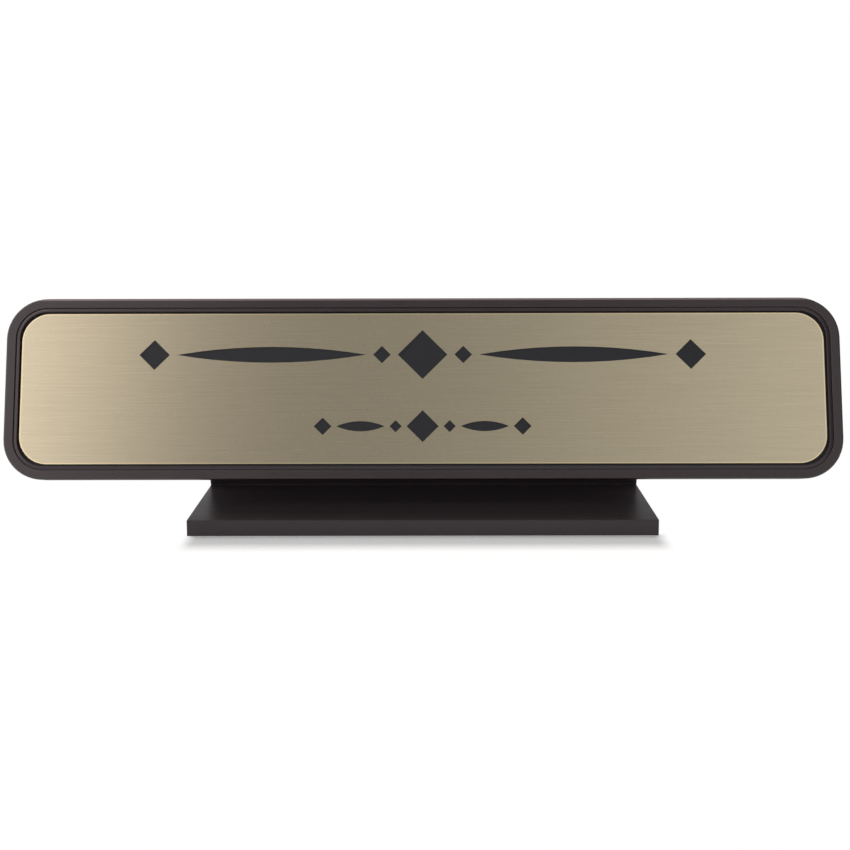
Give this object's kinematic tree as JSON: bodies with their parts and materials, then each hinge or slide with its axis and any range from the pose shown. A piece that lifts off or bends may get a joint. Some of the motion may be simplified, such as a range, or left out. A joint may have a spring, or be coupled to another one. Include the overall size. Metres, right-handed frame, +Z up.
{
  "type": "desk name plate",
  "caption": "Rounded black frame around a brushed gold engraved insert, leaning back on a black stand with a wide flat foot, to stand on a desk and show a name.",
  "frame": {"origin": "on the desk, under the middle of the foot, which is the middle of the bottom of the part's box", "axes": "+X to the reader's right along the plate, +Z up, and the engraved face looks towards -Y, tilted up by its lean"},
  "size_m": [0.2602, 0.0594, 0.0676],
  "materials": {
    "frame_plastic": "satin",
    "bead_vinyl": "satin",
    "gold_face": "satin",
    "black_core": "matte",
    "adhesive_tape": "matte",
    "stand_plastic": "satin",
    "screw_steel": "satin",
    "pad_rubber": "matte"
  },
  "bodies": {
    "root": {"frame": "frame_plastic", "retaining_bead": "bead_vinyl", "insert_face": "gold_face", "insert_core": "black_core", "insert_tape_upper": "adhesive_tape", "insert_tape_lower": "adhesive_tape", "desk_bracket": "stand_plastic", "bracket_screw_left": "screw_steel", "bracket_screw_right": "screw_steel", "foot_pad_front_left": "pad_rubber", "foot_pad_front_right": "pad_rubber", "foot_pad_rear_left": "pad_rubber", "foot_pad_rear_right": "pad_rubber"}
  },
  "joints": []
}
